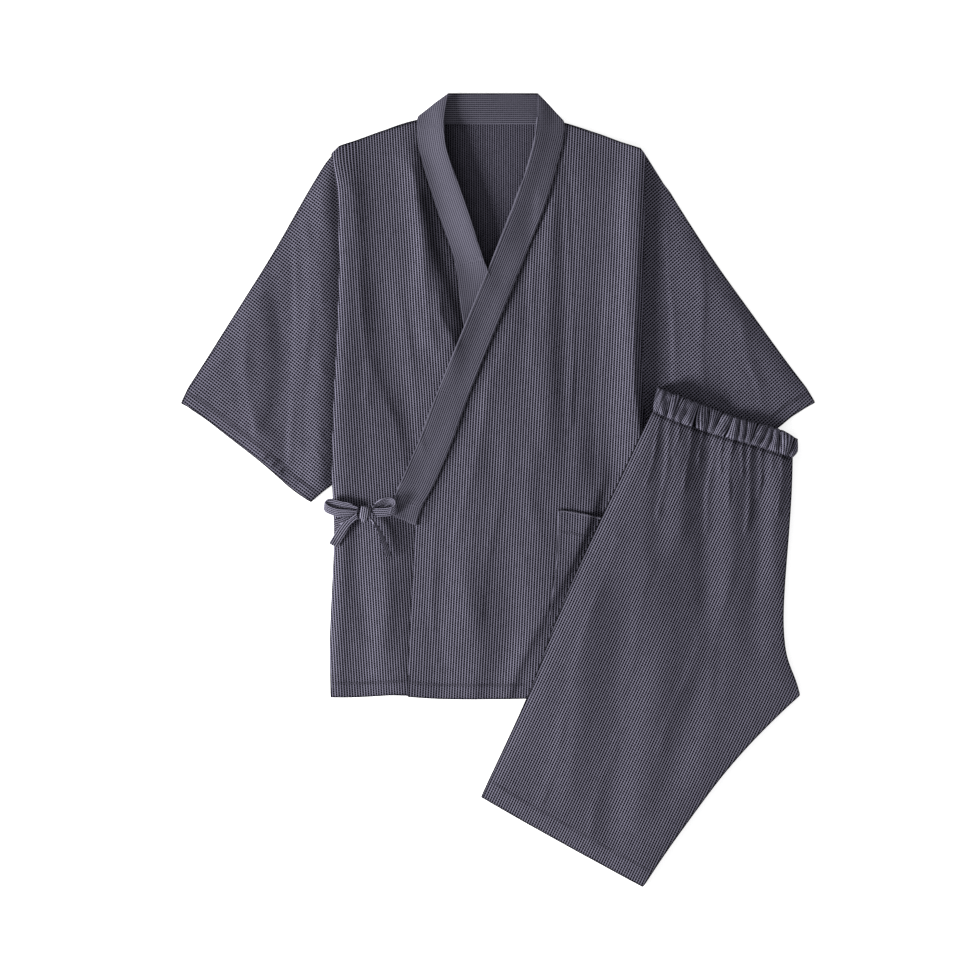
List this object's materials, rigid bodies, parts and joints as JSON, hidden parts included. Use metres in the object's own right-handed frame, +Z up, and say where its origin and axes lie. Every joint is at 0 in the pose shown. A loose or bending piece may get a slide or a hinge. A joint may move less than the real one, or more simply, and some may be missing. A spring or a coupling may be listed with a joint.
{
  "type": "jinbei set",
  "caption": "Cross-over cotton jacket and folded shorts with a gathered waist, laid flat, in slate grey ribbed cloth tied with a bow at the side.",
  "frame": {"origin": "middle of the set's footprint, on the surface that it lies on", "axes": "+Z up from the surface, +Y towards the collar, +X to the right as seen from above"},
  "size_m": [0.8248, 1.0316, 0.0434],
  "materials": {
    "jacket_cloth": "matt ribbed waffle cotton",
    "sleeve_cloth": "matt ribbed waffle cotton",
    "collar_cloth": "matt ribbed waffle cotton",
    "shorts_cloth": "matt ribbed waffle cotton",
    "tie_cloth": "matt ribbed waffle cotton"
  },
  "bodies": {
    "root": {"jacket_back": "jacket_cloth", "jacket_right_front": "jacket_cloth", "jacket_left_front": "jacket_cloth", "sleeve_left_lower": "sleeve_cloth", "sleeve_left_upper": "sleeve_cloth", "sleeve_right_lower": "sleeve_cloth", "sleeve_right_upper": "sleeve_cloth", "collar_back": "collar_cloth", "collar_right": "collar_cloth", "collar_left": "collar_cloth", "pocket": "jacket_cloth", "tie_side": "tie_cloth", "tie_collar": "tie_cloth", "bow_knot": "tie_cloth", "bow_loop_left": "tie_cloth", "bow_loop_right": "tie_cloth", "bow_tail_left": "tie_cloth", "bow_tail_right": "tie_cloth", "shorts_hidden_layers": "shorts_cloth", "shorts_upper_leg": "shorts_cloth", "shorts_waistband": "shorts_cloth"}
  },
  "joints": []
}
